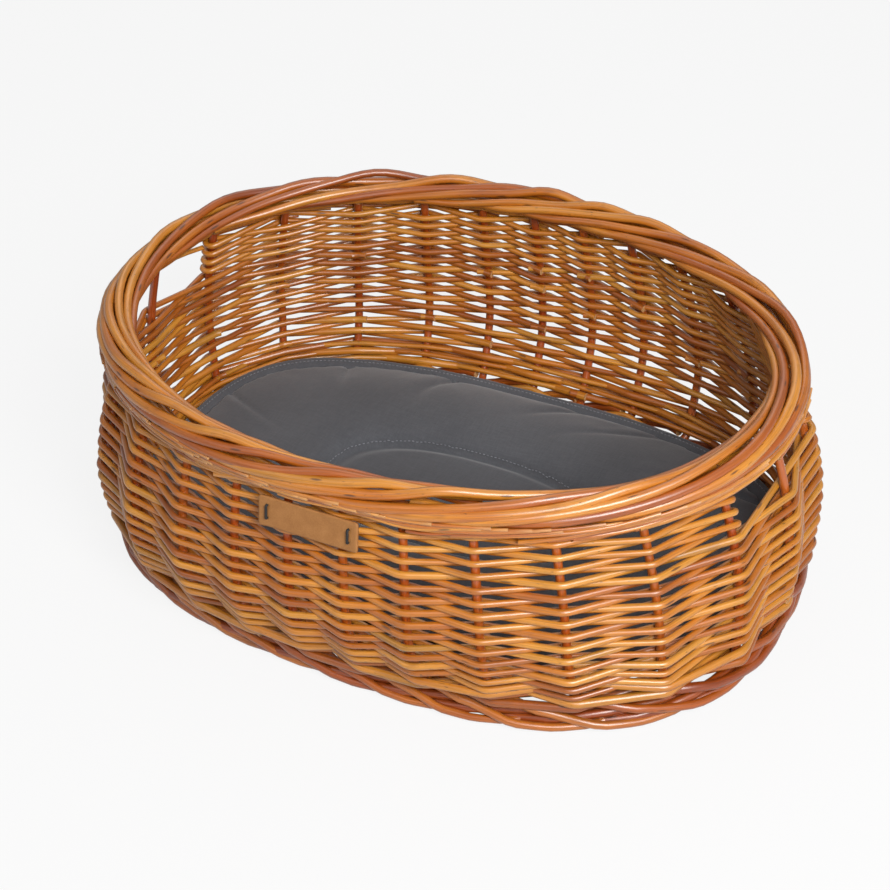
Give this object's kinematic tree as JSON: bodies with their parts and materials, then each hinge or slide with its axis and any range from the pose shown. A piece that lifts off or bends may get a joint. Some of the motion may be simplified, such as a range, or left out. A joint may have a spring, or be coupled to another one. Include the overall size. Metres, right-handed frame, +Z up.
{
  "type": "dog bicycle basket",
  "caption": "Oval woven willow basket with a plaited border, a grip hole at each end, a foot border and a loose grey cushion, for carrying a small dog on a rear carrier.",
  "frame": {"origin": "centre of the bounding box's bottom, on the floor under the middle of the basket", "axes": "+X along the length towards the right grip hole, +Y towards the back, +Z up; the label is on the -Y side"},
  "size_m": [0.555, 0.4116, 0.2],
  "materials": {
    "willow_stakes": "clear lacquer over honey-brown willow, darker than the siding",
    "willow_siding": "clear lacquer over honey-brown willow, satin to gloss",
    "willow_panels": "clear lacquer over honey-brown willow, satin to gloss",
    "willow_border": "clear lacquer over honey-brown willow, satin to gloss",
    "willow_foot": "clear lacquer over red-brown willow, satin to gloss",
    "willow_sticks": "clear lacquer over honey-brown willow",
    "willow_base": "clear lacquer over honey-brown willow",
    "grey_cloth": "matt grey woven cloth with paler stitching",
    "tan_leather": "smooth tan leather, matt, unmarked",
    "black_cord": "waxed black cord"
  },
  "bodies": {
    "basket": {"stake_01": "willow_stakes", "stake_02": "willow_stakes", "stake_03": "willow_stakes", "stake_04": "willow_stakes", "stake_05": "willow_stakes", "stake_06": "willow_stakes", "stake_07": "willow_stakes", "stake_08": "willow_stakes", "stake_09": "willow_stakes", "stake_10": "willow_stakes", "stake_11": "willow_stakes", "stake_12": "willow_stakes", "stake_13": "willow_stakes", "stake_14": "willow_stakes", "stake_15": "willow_stakes", "stake_16": "willow_stakes", "stake_17": "willow_stakes", "stake_18": "willow_stakes", "stake_19": "willow_stakes", "stake_20": "willow_stakes", "stake_21": "willow_stakes", "stake_22": "willow_stakes", "stake_23": "willow_stakes", "stake_24": "willow_stakes", "stake_25": "willow_stakes", "stake_26": "willow_stakes", "wale_rod_1": "willow_siding", "wale_rod_2": "willow_siding", "wale_rod_3": "willow_siding", "siding_weaver_1": "willow_siding", "siding_weaver_2": "willow_siding", "back_panel_weaver": "willow_panels", "front_panel_weaver": "willow_panels", "border_strand_1": "willow_border", "border_strand_2": "willow_border", "border_strand_3": "willow_border", "border_strand_4": "willow_border", "foot_strand_1": "willow_foot", "foot_strand_2": "willow_foot", "foot_strand_3": "willow_foot", "cross_stick_01": "willow_sticks", "cross_stick_02": "willow_sticks", "cross_stick_03": "willow_sticks", "cross_stick_04": "willow_sticks", "cross_stick_05": "willow_sticks", "cross_stick_06": "willow_sticks", "cross_stick_07": "willow_sticks", "cross_stick_08": "willow_sticks", "cross_stick_09": "willow_sticks", "cross_stick_10": "willow_sticks", "long_stick_1": "willow_sticks", "long_stick_2": "willow_sticks", "long_stick_3": "willow_sticks", "base_weaver_1": "willow_base", "base_weaver_2": "willow_base", "label": "tan_leather", "label_tie_1": "black_cord", "label_tie_2": "black_cord"},
    "cushion": {"cushion": "grey_cloth"}
  },
  "joints": [
    {"name": "cushion_lift", "type": "slide", "parent": "basket", "child": "cushion", "axis": [0, 0, 1], "range_m": [0, 0.2]}
  ]
}
